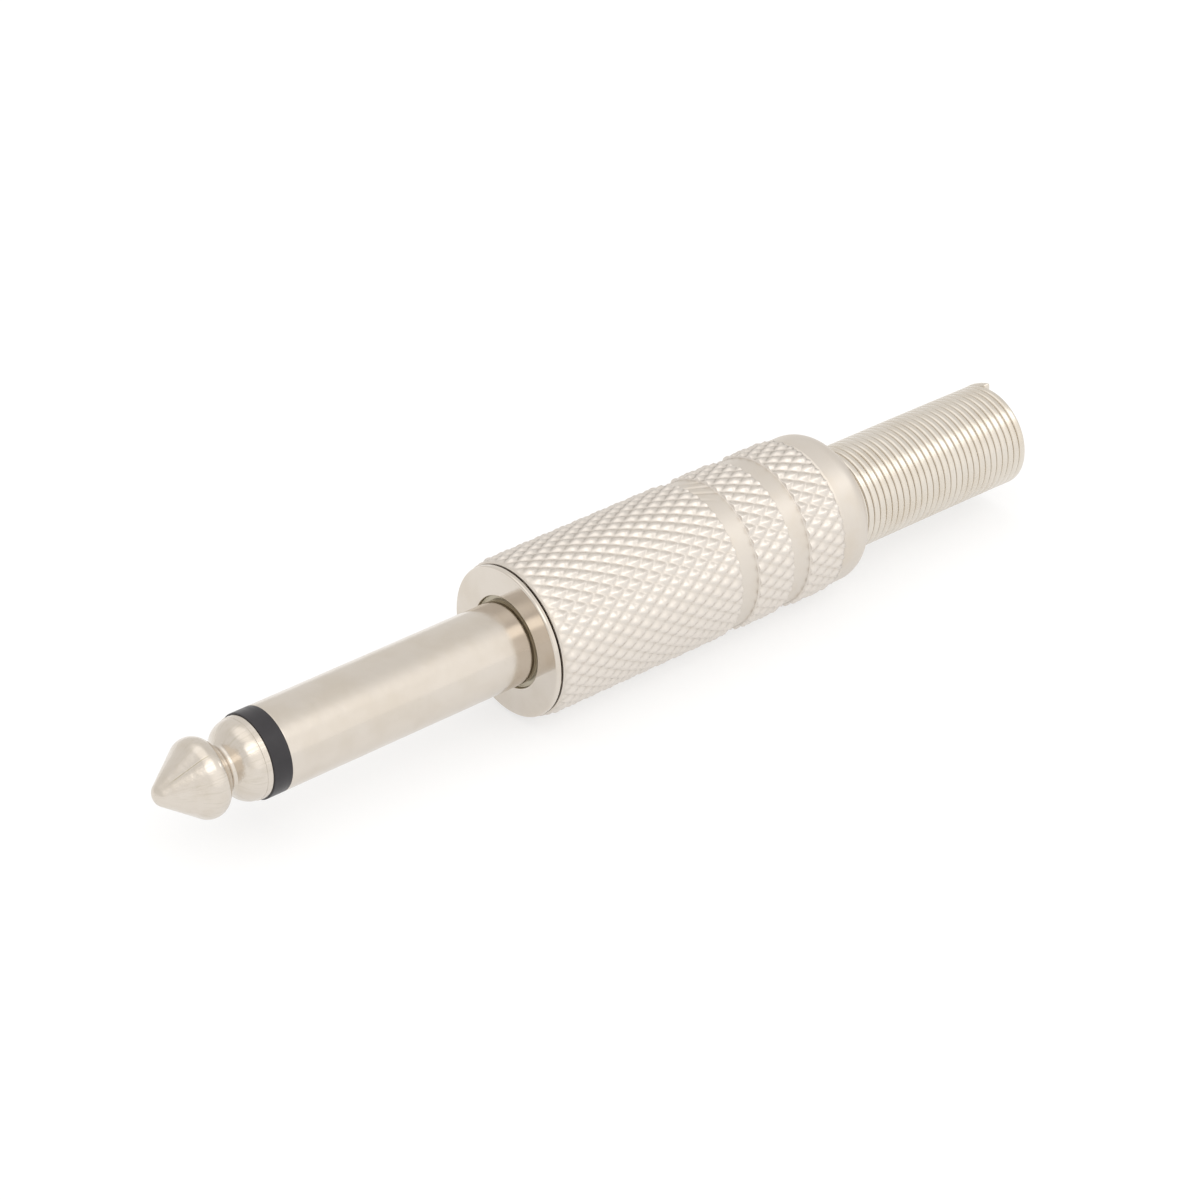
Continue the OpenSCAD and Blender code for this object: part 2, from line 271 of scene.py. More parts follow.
def ring_faces(index, close_rows):
    """Quads between neighbouring rows of a grid of vertex numbers whose columns close round."""
    ahead = np.roll(index, -1, axis=0) if close_rows else index[1:]
    here = index if close_rows else index[:-1]
    quads = [here, np.roll(here, -1, axis=1), np.roll(ahead, -1, axis=1), ahead]
    return np.stack(quads, axis=-1).reshape(-1, 4)


def outward(points, face_sets):
    """The same faces, turned over together if the closed surface's signed volume is negative."""
    volume = 0
    for faces in face_sets:
        for k in range(1, faces.shape[1] - 1):
            a, b, c = points[faces[:, 0]], points[faces[:, k]], points[faces[:, k + 1]]
            volume += np.einsum("ij,ij->i", a, np.cross(b, c)).sum()
    return [faces if volume > 0 else faces[:, ::-1] for faces in face_sets]


def make_piece(name, points, face_sets, material, body, node, slot, shade_and_wear=None):
    """A smooth-shaded mesh from points in mm and arrays of faces, riding on its body in its node's place.

    Shade and wear hold values from 0 to 1 at each point, kept as attributes for the finish: the painted shade
    and dirt of hollows, and the burnish of lumps."""
    points = points.reshape(-1, 3)
    face_sets = outward(points, face_sets)
    corner_counts = np.concatenate([np.full(len(f), f.shape[1]) for f in face_sets])
    mesh = bpy.data.meshes.new(name)
    mesh.vertices.add(len(points))
    mesh.vertices.foreach_set("co", (points*MM).ravel())
    mesh.loops.add(int(corner_counts.sum()))
    mesh.loops.foreach_set("vertex_index", np.concatenate([f.ravel() for f in face_sets]))
    mesh.polygons.add(len(corner_counts))
    mesh.polygons.foreach_set("loop_start", np.cumsum(corner_counts) - corner_counts)
    mesh.polygons.foreach_set("use_smooth", np.ones(len(corner_counts), bool))
    mesh.update(calc_edges=True)
    mesh.validate()
    for key, values in (shade_and_wear or {}).items():
        mesh.attributes.new(key, "FLOAT", "POINT").data.foreach_set("value", values.ravel())
    mesh.materials.append(material)
    piece = bpy.data.objects.new(name, mesh)
    bpy.context.scene.collection.objects.link(piece)
    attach(piece, body)
    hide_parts(node)
    return piece


def turned_tube(name, profile, columns, **place):
    """A closed profile [r, x] carried once round the X axis."""
    points = turn_points(profile[:, 1], profile[:, 0], turn_angles(profile, columns))
    index = np.arange(len(profile)*columns).reshape(-1, columns)
    return make_piece(name, points, [ring_faces(index, True)], **place)


def turned_solid(name, profile, columns, **place):
    """A profile [r, x] from the X axis back to it, carried round it, with a fan of triangles at each end."""
    rows = profile[1:-1]
    points = turn_points(rows[:, 1], rows[:, 0], turn_angles(rows, columns)).reshape(-1, 3)
    poles = np.array([[profile[0, 1], 0, 0], [profile[-1, 1], 0, 0]])
    index = np.arange(len(points)).reshape(-1, columns)
    first, last = index[0], index[-1]
    front = np.column_stack([np.full(columns, len(points)), np.roll(first, -1), first])
    rear = np.column_stack([np.full(columns, len(points) + 1), last, np.roll(last, -1)])
    faces = [ring_faces(index, False), np.concatenate([front, rear])]
    return make_piece(name, np.concatenate([points, poles]), faces, **place)


def add_node(tree, kind, inputs=None, **settings):
    """A node with its settings; each input takes a value, or another node's output that is joined to it."""
    made = tree.nodes.new(kind)
    for key, value in settings.items():
        setattr(made, key, value)
    for key, value in (inputs or {}).items():
        if isinstance(value, bpy.types.NodeSocket):
            tree.links.new(value, made.inputs[key])
        else:
            made.inputs[key].default_value = value
    return made


def maths(tree, operation, first, second=0.0, third=0.0):
    """The output of one Math node."""
    inputs = {0: first, 1: second, 2: third}
    return add_node(tree, "ShaderNodeMath", inputs, operation=operation).outputs[0]


def spread(tree, value, low, high, to_low=0.0, to_high=1.0):
    """A value carried from one range to another with a smooth start and end, held at both ends."""
    inputs = {"Value": value, "From Min": low, "From Max": high, "To Min": to_low, "To Max": to_high}
    return add_node(tree, "ShaderNodeMapRange", inputs, interpolation_type="SMOOTHSTEP").outputs["Result"]


def blend_colour(tree, amount, first, second):
    """A mix of two colours by a mask."""
    mix = add_node(tree, "ShaderNodeMix", data_type="RGBA")
    for socket, value in ((mix.inputs[0], amount), (mix.inputs[6], first), (mix.inputs[7], second)):
        if isinstance(value, bpy.types.NodeSocket):
            tree.links.new(value, socket)
        else:
            socket.default_value = value
    return mix.outputs[2]


def new_group(name, inputs, outputs):
    """An empty shader node group with float inputs of given defaults and named outputs."""
    group = bpy.data.node_groups.new(name, "ShaderNodeTree")
    for key, value in inputs.items():
        group.interface.new_socket(key, in_out="INPUT", socket_type="NodeSocketFloat").default_value = value
    for key in outputs:
        group.interface.new_socket(key, in_out="OUTPUT", socket_type="NodeSocketFloat")
    return group, group.nodes.new("NodeGroupInput").outputs, group.nodes.new("NodeGroupOutput").inputs


# Pits of the plating: where a spot starts and stops fading, in shares of a cell, and the share without one
PIT_EDGE = (0.04, 0.12)
PIT_CHANCE = 0.7


def turned_place_group():
    """Where a point lies on the lathe: way along the axis and radius in mm, and its direction's two parts."""
    group, _, out = new_group("turned_place", {}, ["Along", "Radius", "Direction Y", "Direction Z"])
    place = add_node(group, "ShaderNodeTexCoord").outputs["Object"]
    x, y, z = add_node(group, "ShaderNodeSeparateXYZ", {0: place}).outputs
    squares = maths(group, "ADD", maths(group, "MULTIPLY", y, y), maths(group, "MULTIPLY", z, z))
    radius = maths(group, "SQRT", squares)
    safe = maths(group, "MAXIMUM", radius, 1e-6)
    values = {
        "Along": maths(group, "DIVIDE", x, MM),
        "Radius": maths(group, "DIVIDE", radius, MM),
        "Direction Y": maths(group, "DIVIDE", y, safe),
        "Direction Z": maths(group, "DIVIDE", z, safe),
    }
    for key, value in values.items():
        group.links.new(value, out[key])
    return group


def streaks_group(turned_place):
    """Fine tool marks: noise that is fast across the marks and slow along them, from lathe coordinates.

    A high Across with a low Around gives rings left by turning, the reverse gives lines along the axis."""
    group, value, out = new_group("tool_streaks", {"Across": 20, "Around": 1}, ["Streak"])
    lathe = add_node(group, "ShaderNodeGroup", node_tree=turned_place).outputs
    profile_way = maths(group, "ADD", lathe["Along"], lathe["Radius"])
    parts = {
        0: maths(group, "MULTIPLY", profile_way, value["Across"]),
        1: maths(group, "MULTIPLY", lathe["Direction Y"], value["Around"]),
        2: maths(group, "MULTIPLY", lathe["Direction Z"], value["Around"]),
    }
    vector = add_node(group, "ShaderNodeCombineXYZ", parts).outputs[0]
    inputs = {"Vector": vector, "Scale": 1, "Detail": 4, "Roughness": 0.6}
    noise = add_node(group, "ShaderNodeTexNoise", inputs)
    group.links.new(noise.outputs["Fac"], out["Streak"])
    return group


def clouds_group():
    """Slow uneven patches of plating: noise of a given grain per mm on Object coordinates."""
    group, value, out = new_group("plating_clouds", {"Grain": 0.5}, ["Cloud"])
    place = add_node(group, "ShaderNodeTexCoord").outputs["Object"]
    scale = maths(group, "DIVIDE", value["Grain"], MM)
    inputs = {"Vector": place, "Scale": scale, "Detail": 3, "Roughness": 0.55}
    noise = add_node(group, "ShaderNodeTexNoise", inputs)
    group.links.new(noise.outputs["Fac"], out["Cloud"])
    return group


def pits_group():
    """Small pits in the plating: a dark spot about some of a cell pattern's points, with a grain per mm."""
    group, value, out = new_group("plating_pits", {"Grain": 1.5}, ["Pit"])
    place = add_node(group, "ShaderNodeTexCoord").outputs["Object"]
    scale = maths(group, "DIVIDE", value["Grain"], MM)
    cells = add_node(group, "ShaderNodeTexVoronoi", {"Vector": place, "Scale": scale}).outputs
    chance = add_node(group, "ShaderNodeSeparateColor", {0: cells["Color"]}).outputs[0]
    spot = spread(group, cells["Distance"], *PIT_EDGE, 1, 0)
    some = maths(group, "GREATER_THAN", chance, PIT_CHANCE)
    group.links.new(maths(group, "MULTIPLY", spot, some), out["Pit"])
    return group


turned_place = turned_place_group()
tool_streaks = streaks_group(turned_place)
plating_clouds = clouds_group()
plating_pits = pits_group()


def new_material(name, base, roughness, metallic=1.0):
    """A material with one Principled shader and its plain values."""
    material = bpy.data.materials.new(name)
    material.use_nodes = True
    shader = material.node_tree.nodes["Principled BSDF"]
    shader.inputs["Base Color"].default_value = base
    shader.inputs["Roughness"].default_value = roughness
    shader.inputs["Metallic"].default_value = metallic
    return material, material.node_tree, shader


def streak(tree, across, around):
    """Tool marks of one finish."""
    inputs = {"Across": across, "Around": around}
    return add_node(tree, "ShaderNodeGroup", inputs, node_tree=tool_streaks).outputs["Streak"]


def cloud(tree, grain):
    """Plating patches of one finish."""
    return add_node(tree, "ShaderNodeGroup", {"Grain": grain}, node_tree=plating_clouds).outputs["Cloud"]


def press_in(tree, shader, height, depth_mm=1.0):
    """Joins a height to the shader's normal as a bump of real depth: the height is in units of that depth."""
    bump = add_node(tree, "ShaderNodeBump", {"Height": height, "Distance": depth_mm*MM, "Strength": 1.0})
    tree.links.new(bump.outputs["Normal"], shader.inputs["Normal"])


NICKEL = (0.69, 0.635, 0.57, 1)
NICKEL_DEEP = (0.655, 0.595, 0.52, 1)
WIRE = (0.73, 0.68, 0.61, 1)
WIRE_DEEP = (0.69, 0.63, 0.545, 1)
SATIN = (0.70, 0.65, 0.59, 1)
SATIN_WARM = (0.68, 0.62, 0.545, 1)
SATIN_BRIGHT = (0.74, 0.69, 0.635, 1)
# Dark satin tint of the hollows: painted shade inside the barrel, and painted shade with dirt in the knurl's
# valleys
SATIN_DEEP = (0.42, 0.38, 0.335, 1)
# Tint of dark marks and pits, and of the painted shade in hollows
DARK_MARKS_AND_SHADE = (0.5, 0.455, 0.36, 1)
TIN = (0.72, 0.7, 0.66, 1)
TIN_DEEP = (0.6, 0.57, 0.52, 1)
BLACK = (0.018, 0.016, 0.019, 1)
BLACK_DEEP = (0.014, 0.012, 0.015, 1)
BLACK_WORN = (0.03, 0.027, 0.031, 1)
FIBRE = (0.3, 0.16, 0.075, 1)
FIBRE_DEEP = (0.2, 0.1, 0.045, 1)
FIBRE_PALE = (0.42, 0.24, 0.12, 1)
FILM = (0.74, 0.73, 0.68, 1)
FILM_DEEP = (0.66, 0.65, 0.6, 1)
FILM_PALE = (0.8, 0.79, 0.75, 1)
# Plating: pits per mm, how dark they are, added dullness of hollows, and dark lines' height against the marks
PIT_GRAIN = 1.7
PIT_SHADE = 0.3
HOLLOW_DULL = 0.25
LINE_DEPTH = -2.0
# Ranges of the noise: marks that become dark lines, patches that become deep, and what makes the gloss worn
LINE_MARKS = (0.52, 0.68)
DEEP_PATCHES = (0.35, 0.75)
WORN_GLOSS = (0.3, 0.7)
# Satin barrel: range of warm patches, roughness, what hollows, lumps and marks add to it, and marks' depth
WARM_PATCHES = (0.4, 0.75)
SATIN_DULL = 0.38
SATIN_HOLLOW = 0.1
SATIN_BURNISH = -0.12
SATIN_MARKS = 0.14
SATIN_RELIEF = 0.002


def plated(
    name, base, deep, rough, across, around, marks_mm, grain=0.35, waves_mm=0.0, lines=0.0, scratch=None
):
    """Nickel plating over turned brass: patches of tint, tool marks in the gloss and a fine relief of them.

    Hollows are dull and darkened with painted shade, small pits are dark, and the deepest marks may show as
    dark lines."""
    material, tree, shader = new_material(name, base, rough[0])
    marks = streak(tree, across, around)
    patches = cloud(tree, grain)
    hollow = add_node(tree, "ShaderNodeAttribute", attribute_name="hollow").outputs["Fac"]
    pits = add_node(tree, "ShaderNodeGroup", {"Grain": PIT_GRAIN}, node_tree=plating_pits).outputs["Pit"]
    pits = maths(tree, "MULTIPLY", pits, PIT_SHADE)
    dark = maths(tree, "MULTIPLY_ADD", spread(tree, marks, *LINE_MARKS), lines, pits)
    if scratch:
        dark = maths(tree, "MAXIMUM", dark, scratch(tree))
    tint = blend_colour(tree, spread(tree, patches, *DEEP_PATCHES), base, deep)
    # Real marks and pits darken the tint, and so does the painted shade of the hollow mask
    tint = blend_colour(tree, maths(tree, "MAXIMUM", dark, hollow), tint, DARK_MARKS_AND_SHADE)
    tree.links.new(tint, shader.inputs["Base Color"])
    worn = maths(tree, "MULTIPLY_ADD", patches, 0.5, maths(tree, "MULTIPLY", marks, 0.5))
    dull = maths(tree, "MULTIPLY_ADD", hollow, HOLLOW_DULL, spread(tree, worn, *WORN_GLOSS, *rough))
    tree.links.new(dull, shader.inputs["Roughness"])
    relief = maths(tree, "MULTIPLY", maths(tree, "MULTIPLY_ADD", dark, LINE_DEPTH, marks), marks_mm)
    press_in(tree, shader, maths(tree, "MULTIPLY_ADD", patches, waves_mm, relief))
    return material


def cone_scratch(tree):
    """One long scratch down the tip's cone: a thin uneven band about a plane through the axis."""
    lathe = add_node(tree, "ShaderNodeGroup", node_tree=turned_place).outputs
    side = Vector((0, -math.sin(scratch_angle), math.cos(scratch_angle)))
    parts = {1: lathe["Direction Y"], 2: lathe["Direction Z"]}
    way = add_node(tree, "ShaderNodeCombineXYZ", parts).outputs[0]
    off = add_node(tree, "ShaderNodeVectorMath", {0: way, 1: side}, operation="DOT_PRODUCT").outputs["Value"]
    near = maths(tree, "ABSOLUTE", maths(tree, "MULTIPLY", off, lathe["Radius"]))
    from_apex = maths(tree, "SUBTRACT", lathe["Along"], apex_x)
    line = spread(tree, near, *scratch_half, 1, 0)
    line = maths(tree, "MULTIPLY", line, spread(tree, from_apex, *scratch_rise))
    line = maths(tree, "MULTIPLY", line, spread(tree, from_apex, *scratch_fade, 1, 0))
    line = maths(tree, "MULTIPLY", line, maths(tree, "GREATER_THAN", lathe["Direction Z"], 0))
    strength = spread(tree, cloud(tree, scratch_grain), *scratch_breaks, *scratch_strength)
    return maths(tree, "MULTIPLY", line, strength)


def satin_barrel_finish():
    """Satin nickel on the barrel: dull in hollows and darkened there with painted shade, with dirt between
    the lumps; bright on the lumps, with rings and patches.
    """
    material, tree, shader = new_material("satin_nickel", SATIN, roughness=0.3)
    hollow = add_node(tree, "ShaderNodeAttribute", attribute_name="hollow").outputs["Fac"]
    patches = cloud(tree, grain=0.4)
    marks = streak(tree, across=26, around=1.5)
    burnish = add_node(tree, "ShaderNodeAttribute", attribute_name="burnish").outputs["Fac"]
    plain = blend_colour(tree, spread(tree, patches, *WARM_PATCHES), SATIN, SATIN_WARM)
    # The hollow mask blends in the dark tint: painted shade, with dirt in the knurl's valleys
    tint = blend_colour(tree, hollow, blend_colour(tree, burnish, plain, SATIN_BRIGHT), SATIN_DEEP)
    tree.links.new(tint, shader.inputs["Base Color"])
    dull = maths(tree, "MULTIPLY_ADD", hollow, SATIN_HOLLOW, SATIN_DULL)
    dull = maths(tree, "MULTIPLY_ADD", burnish, SATIN_BURNISH, dull)
    tree.links.new(maths(tree, "MULTIPLY_ADD", marks, SATIN_MARKS, dull), shader.inputs["Roughness"])
    press_in(tree, shader, marks, SATIN_RELIEF)
    return material


def wire_finish():
    """Bright plated spring wire with patches of tint."""
    return plated("spring_wire", WIRE, WIRE_DEEP, rough=(0.2, 0.3), across=4, around=30, marks_mm=0.0012)


def black_plastic_finish():
    """Moulded black plastic, turned flush with the metal: faint rings and a soft gloss."""
    material, tree, shader = new_material("black_insulator", BLACK, roughness=0.36, metallic=0.0)
    marks = streak(tree, across=22, around=1)
    tree.links.new(spread(tree, marks, *WORN_GLOSS, 0.3, 0.45), shader.inputs["Roughness"])
    worn = blend_colour(tree, cloud(tree, grain=0.8), BLACK_DEEP, BLACK_WORN)
    tree.links.new(worn, shader.inputs["Base Color"])
    press_in(tree, shader, marks, depth_mm=0.003)
    return material


def fibre_finish():
    """Brown laminated fibre: layers across the axis and a dry, uneven surface."""
    material, tree, shader = new_material("fibre", FIBRE, roughness=0.6, metallic=0.0)
    layers = streak(tree, across=9, around=6)
    tree.links.new(blend_colour(tree, layers, FIBRE_DEEP, FIBRE_PALE), shader.inputs["Base Color"])
    press_in(tree, shader, layers, depth_mm=0.01)
    return material


def film_finish():
    """Milky plastic film with faint streaks from its rolling."""
    material, tree, shader = new_material("film", FILM, roughness=0.4, metallic=0.0)
    marks = streak(tree, across=0.6, around=18)
    tree.links.new(blend_colour(tree, marks, FILM_DEEP, FILM_PALE), shader.inputs["Base Color"])
    tree.links.new(spread(tree, marks, *WORN_GLOSS, 0.3, 0.5), shader.inputs["Roughness"])
    return material


bright_nickel = plated(
    "bright_nickel", NICKEL, NICKEL_DEEP,
    rough=(0.07, 0.13), across=18, around=1.2, marks_mm=0.0012, waves_mm=0.006,
)
tip_nickel = plated(
    "tip_nickel", NICKEL, NICKEL_DEEP,
    rough=(0.1, 0.24), across=0.35, around=22, marks_mm=0.005, grain=0.9, waves_mm=0.03,
    lines=0.3, scratch=cone_scratch,
)
shank_nickel = plated(
    "shank_nickel", NICKEL, NICKEL_DEEP,
    rough=(0.13, 0.24), across=16, around=1.4, marks_mm=0.0015, waves_mm=0.03,
)
lug_tin = plated(
    "lug_tin", TIN, TIN_DEEP, rough=(0.3, 0.5), across=1.5, around=9, marks_mm=0.004, grain=0.9
)
satin_nickel = satin_barrel_finish()
spring_wire = wire_finish()
black_insulator = black_plastic_finish()
fibre = fibre_finish()
film = film_finish()


def tip_piece():
    """Tip and rod: four arcs joined by the lines that touch them, then lip, rod and its riveted head."""
    nose = (0, apex_x + nose_r, nose_r)
    cone = (cone_r - cone_round, apex_x + cone_l, cone_round)
    neck = (neck_r + neck_round, apex_x + neck_at, -neck_round)
    shoulder = (shoulder_r - shoulder_round, ring_x - lip_w, shoulder_round)
    bends = [-90, touch_angle(nose, cone), touch_angle(cone, neck), touch_angle(neck, shoulder), 0]
    arcs = [arc(c[:2], c[2], *bends[k:k + 2]) for k, c in enumerate((nose, cone, neck, shoulder))]
    rivet_x = rivet_end - rivet_h
    rear = rounded([
        [lip_r - lip_taper, ring_x - lip_w, 0.05], [lip_r, ring_x, 0.04], [rod_r, ring_x, 0.05],
        [rod_r, rivet_x, 0.05], [rivet_r, rivet_x, 0.1], [rivet_r, rivet_end, 0.3],
    ], open_ends=([shoulder_r, ring_x - lip_w], [0, rivet_end]))
    return np.concatenate([*arcs, rear, [[0, rivet_end]]])


def thread_height(x, a):
    """Height from 0 to 1 of a right-hand thread: a triangle wave on a helix, cut flat at crests and roots."""
    phase = x/thread_pitch - a/TURN
    wave = 2*np.abs(phase - np.floor(phase) - 0.5)
    return np.clip((wave - thread_flat)/(1 - 2*thread_flat), 0, 1)


def collar_piece(columns=240):
    """Collar: rounded profile of flange, recess and undercut, then the thread as a height on the grid."""
    front = rounded([
        [spigot_r + fit_gap, collar_end, 0.1], [spigot_r + fit_gap, recess_depth, 0.03],
        [recess_r, recess_depth, 0.1], [recess_r, face_x, 0.06], [flange_r, face_x, flange_round],
        [flange_r, flange_t, 0.06], [undercut_r, flange_t, 0.06],
    ], open_ends=([undercut_r, collar_end], [undercut_r, undercut_end]))
    x = np.arange(undercut_end, collar_end, thread_pitch/collar_rows)
    lead = np.interp(x, [undercut_end, *thread_full, collar_end], [0, 1, 1, 0])
    a = turn_angles(x, columns)
    core = np.interp(lead, [0, core_lead], [undercut_r, thread_root_r])
    thread = core[:, None] + thread_depth*lead[:, None]*thread_height(x[:, None], a)
    points = np.concatenate([
        turn_points(front[:, 1], front[:, 0], turn_angles(front, columns)), turn_points(x, thread, a)
    ])
    # Painted shade in the recess, rising from its mouth to full at a depth, kept as the hollow mask
    depth = np.clip((front[:, 1] - face_x)/recess_shade_depth, 0, 1)
    in_recess = (front[:, 0] < recess_r + recess_shade_past)*depth
    hollow = np.repeat(np.concatenate([in_recess, np.zeros_like(x)]), columns)
    index = np.arange(points.shape[0]*columns).reshape(-1, columns)
    return points, [ring_faces(index, True)], {"hollow": hollow}


def smooth_wave(t, softness):
    """Triangle wave from 0 at whole numbers to 1 halfway, with its corners rounded by the softness."""
    return np.arccos((1 - softness)*np.cos(TURN*t))/math.pi


def skew(phase, ridge):
    """Phase bent in two straight pieces, so that a wave's ridge lies at a given share between its valleys."""
    part = (phase + 0.5) % 1
    return np.where(part < ridge, 0.5*part/ridge, 1 - 0.5*(1 - part)/(1 - ridge)) - 0.5


def knurl_lines(x, turns):
    """The two crossed families of ridges, each a soft roof shape from 0 in its valleys to 1 on its ridges.

    Both lean the same way round the barrel, so each lump has two steep faces and two gentle ones."""
    along = (x - knurl_x)/knurl_pitch
    around = knurl_n*turns
    first, second = skew(along + around, knurl_ridge), skew(along - around, 1 - knurl_ridge)
    return smooth_wave(first, knurl_soft), smooth_wave(second, knurl_soft)


def knurl_height(x, turns):
    """Blunt diamond pyramids from 0 to 1: one less a power mean of the distances from both ridge families.

    The mean lies near the larger of the two, which gives four bulging faces. A hyperbola rounds the top."""
    first, second = knurl_lines(x, turns)
    off_ridge = (((1 - first)**knurl_power + (1 - second)**knurl_power)/2)**(1/knurl_power)
    return 1 - (np.hypot(off_ridge, knurl_blunt) - knurl_blunt)/(math.hypot(1, knurl_blunt) - knurl_blunt)


def band_rows(start, length):
    """Rows [r, x, knurl weight] of one knurled band: wall up, rows on the diamonds' own grid, wall down."""
    end = start + length
    step = knurl_pitch/(2*knurl_steps)
    low, high = (start - knurl_x)/step + knurl_clear, (end - knurl_x)/step - knurl_clear
    grid = np.arange(math.ceil(low), high)*step + knurl_x
    x = np.concatenate([[start], grid, [end]])
    face = np.column_stack([np.full_like(x, valley_r), x, np.ones_like(x)])
    foot, toe = band_wall, band_wall + row_margin
    up = [[groove_r, start - toe, 0], [groove_r, start - foot, 0], [valley_r, start - wall_top, wall_weight]]
    down = [[valley_r, end + wall_top, wall_weight], [groove_r, end + foot, 0], [groove_r, end + toe, 0]]
    return np.concatenate([up, face, down]), end


def stray_lines(x, turns, a):
    """Depth in mm of the knurl wheel's stray lines: one family only, fading round the first groove's top."""
    _, second = knurl_lines(x, turns)
    near = np.clip(1 - np.abs(np.degrees(a) - stray_at)/stray_reach, 0, 1)
    return stray_depth*near*near*(3 - 2*near)*np.clip(1 - second/stray_width, 0, 1)


def barrel_angles(x, columns):
    """Angles of the barrel's columns for rows at x, which lean a little round the axis."""
    return turn_angles(x, columns, knurl_angle + knurl_lean*(x - knurl_x))


def barrel_outside(columns):
    """Outer points from the mouth to the rounded tail: plain rows, with knurl and stray lines as heights.

    With them come the painted shade and dirt of the knurl's hollows and the burnish of the lumps."""
    first, end_1 = band_rows(barrel_x + rim_w, band_l)
    second, end_2 = band_rows(end_1 + groove_w, short_band_l)
    third, tail_x = band_rows(end_2 + groove_w, short_band_l)
    round_x = barrel_end - math.sqrt(tail_round**2 - (throat_r - tail_r + tail_round)**2)
    rear_angle = math.degrees(math.acos((throat_r - tail_r + tail_round)/tail_round))
    mouth = rounded([
        [rim_r - mouth_edge, barrel_x, 0.03], [rim_r - rim_bevel, barrel_x, 0.03],
        [rim_r, barrel_x + rim_bevel, 0.03],
    ], open_ends=([bore_r, barrel_x + mouth_depth], [rim_r, barrel_x + rim_w]))
    tail = arc((tail_r - tail_round, round_x), tail_round, 0, rear_angle - tail_stop, tail_steps)
    step_x = tail_x + tail_gap
    rise_x = step_x + tail_rise
    plain = np.concatenate([[[groove_r, step_x], [tail_r, rise_x], [tail_r, rise_x + tail_margin]], tail])
    groove_ends = band_wall + 2*row_margin
    groove_x = np.linspace(end_1 + groove_ends, end_1 + groove_w - groove_ends, groove_rows)
    groove = np.column_stack([np.full_like(groove_x, groove_r), groove_x])
    bare = [np.column_stack([p, np.zeros(len(p))]) for p in (mouth, groove, plain)]
    rows = np.concatenate([bare[0], first[2:], bare[1], second, third, bare[2]])
    r, x, weight = np.split(rows, 3, axis=1)
    in_groove = (x > end_1) & (x < end_1 + groove_w) & (weight == 0)
    turns = np.arange(columns)/columns
    a = barrel_angles(rows[:, 1], columns)
    lead = np.clip((x - barrel_x)/(rim_w + knurl_lead), knurl_least, 1)
    height = weight*lead*knurl_height(x, turns)
    outer_r = r + (peak_r - valley_r)*height - in_groove*stray_lines(x, turns, a)
    # Painted shade and dirt in the knurl's valleys, strongest at their bottoms
    valley_darkening = valley_shade_and_dirt*(weight > 0)*np.clip(1 - height/shade_and_dirt_height, 0, 1)**shade_and_dirt_power
    return turn_points(rows[:, 1], outer_r, a), valley_darkening, np.clip(burnish_gain*height, 0, 1)


def barrel_inside(columns):
    """Inner points from the rear to the mouth: throat, bore, and the thread with its entry chamfer."""
    throat_x = barrel_end - throat_l
    back = rounded([
        [throat_r, barrel_end - throat_edge, 0.12], [throat_r, throat_x, 0.1],
        [bore_r, throat_x - bore_r + throat_r, 0.1],
    ], open_ends=([throat_r + throat_flare, barrel_end], [bore_r, nut_stop]))
    mouth_x = barrel_x + mouth_depth
    x = np.arange(nut_stop, mouth_x, -thread_pitch/nut_rows)
    a = barrel_angles(x, columns)
    ramp = np.interp(x, [nut_stop - nut_ramp, nut_stop], [1, 0])[:, None]
    entry = np.interp(x, [mouth_x, mouth_x + nut_entry], [1, 0])[:, None]
    nut_r = bore_r + thread_depth*np.maximum(ramp*thread_height(x[:, None], a), entry)
    plain = turn_points(back[:, 1], back[:, 0], barrel_angles(back[:, 1], columns))
    return np.concatenate([plain, turn_points(x, nut_r, a)])


def barrel_piece():
    """Barrel: the outside, the inside on a third of its columns, and triangles that join both ends."""
    columns = 2*knurl_n*knurl_steps
    few = columns//3
    outer, valley_darkening, burnish = barrel_outside(columns)
    inner = barrel_inside(few)
    index_out = np.arange(outer.shape[0]*columns).reshape(-1, columns)
    index_in = outer.shape[0]*columns + np.arange(inner.shape[0]*few).reshape(-1, few)
    points = np.concatenate([outer.reshape(-1, 3), inner.reshape(-1, 3)])
    # The whole inside takes the hollow mask: painted shade, on plating that is duller there
    inside = np.ones(inner.shape[0]*few)
    shade_and_wear = {
        "hollow": np.concatenate([valley_darkening.ravel(), inside]),
        "burnish": np.concatenate([burnish.ravel(), 0*inside]),
    }
    rear = wide_to_narrow(index_out[-1], index_in[0])
    front = wide_to_narrow(index_out[0], index_in[-1])[:, ::-1]
    faces = [ring_faces(index_out, False), ring_faces(index_in, False), np.concatenate([rear, front])]
    return points, faces, shade_and_wear


def wide_to_narrow(wide, narrow):
    """Triangles between a ring and a ring of a third as many points: three wide steps to each narrow one."""
    ahead, next_narrow = np.roll(wide, -1), np.roll(narrow, -1)
    held = np.repeat(narrow, 3)
    fans = np.column_stack([wide, ahead, held])
    links = np.column_stack([ahead[2::3], next_narrow, narrow])
    return np.concatenate([fans, links])


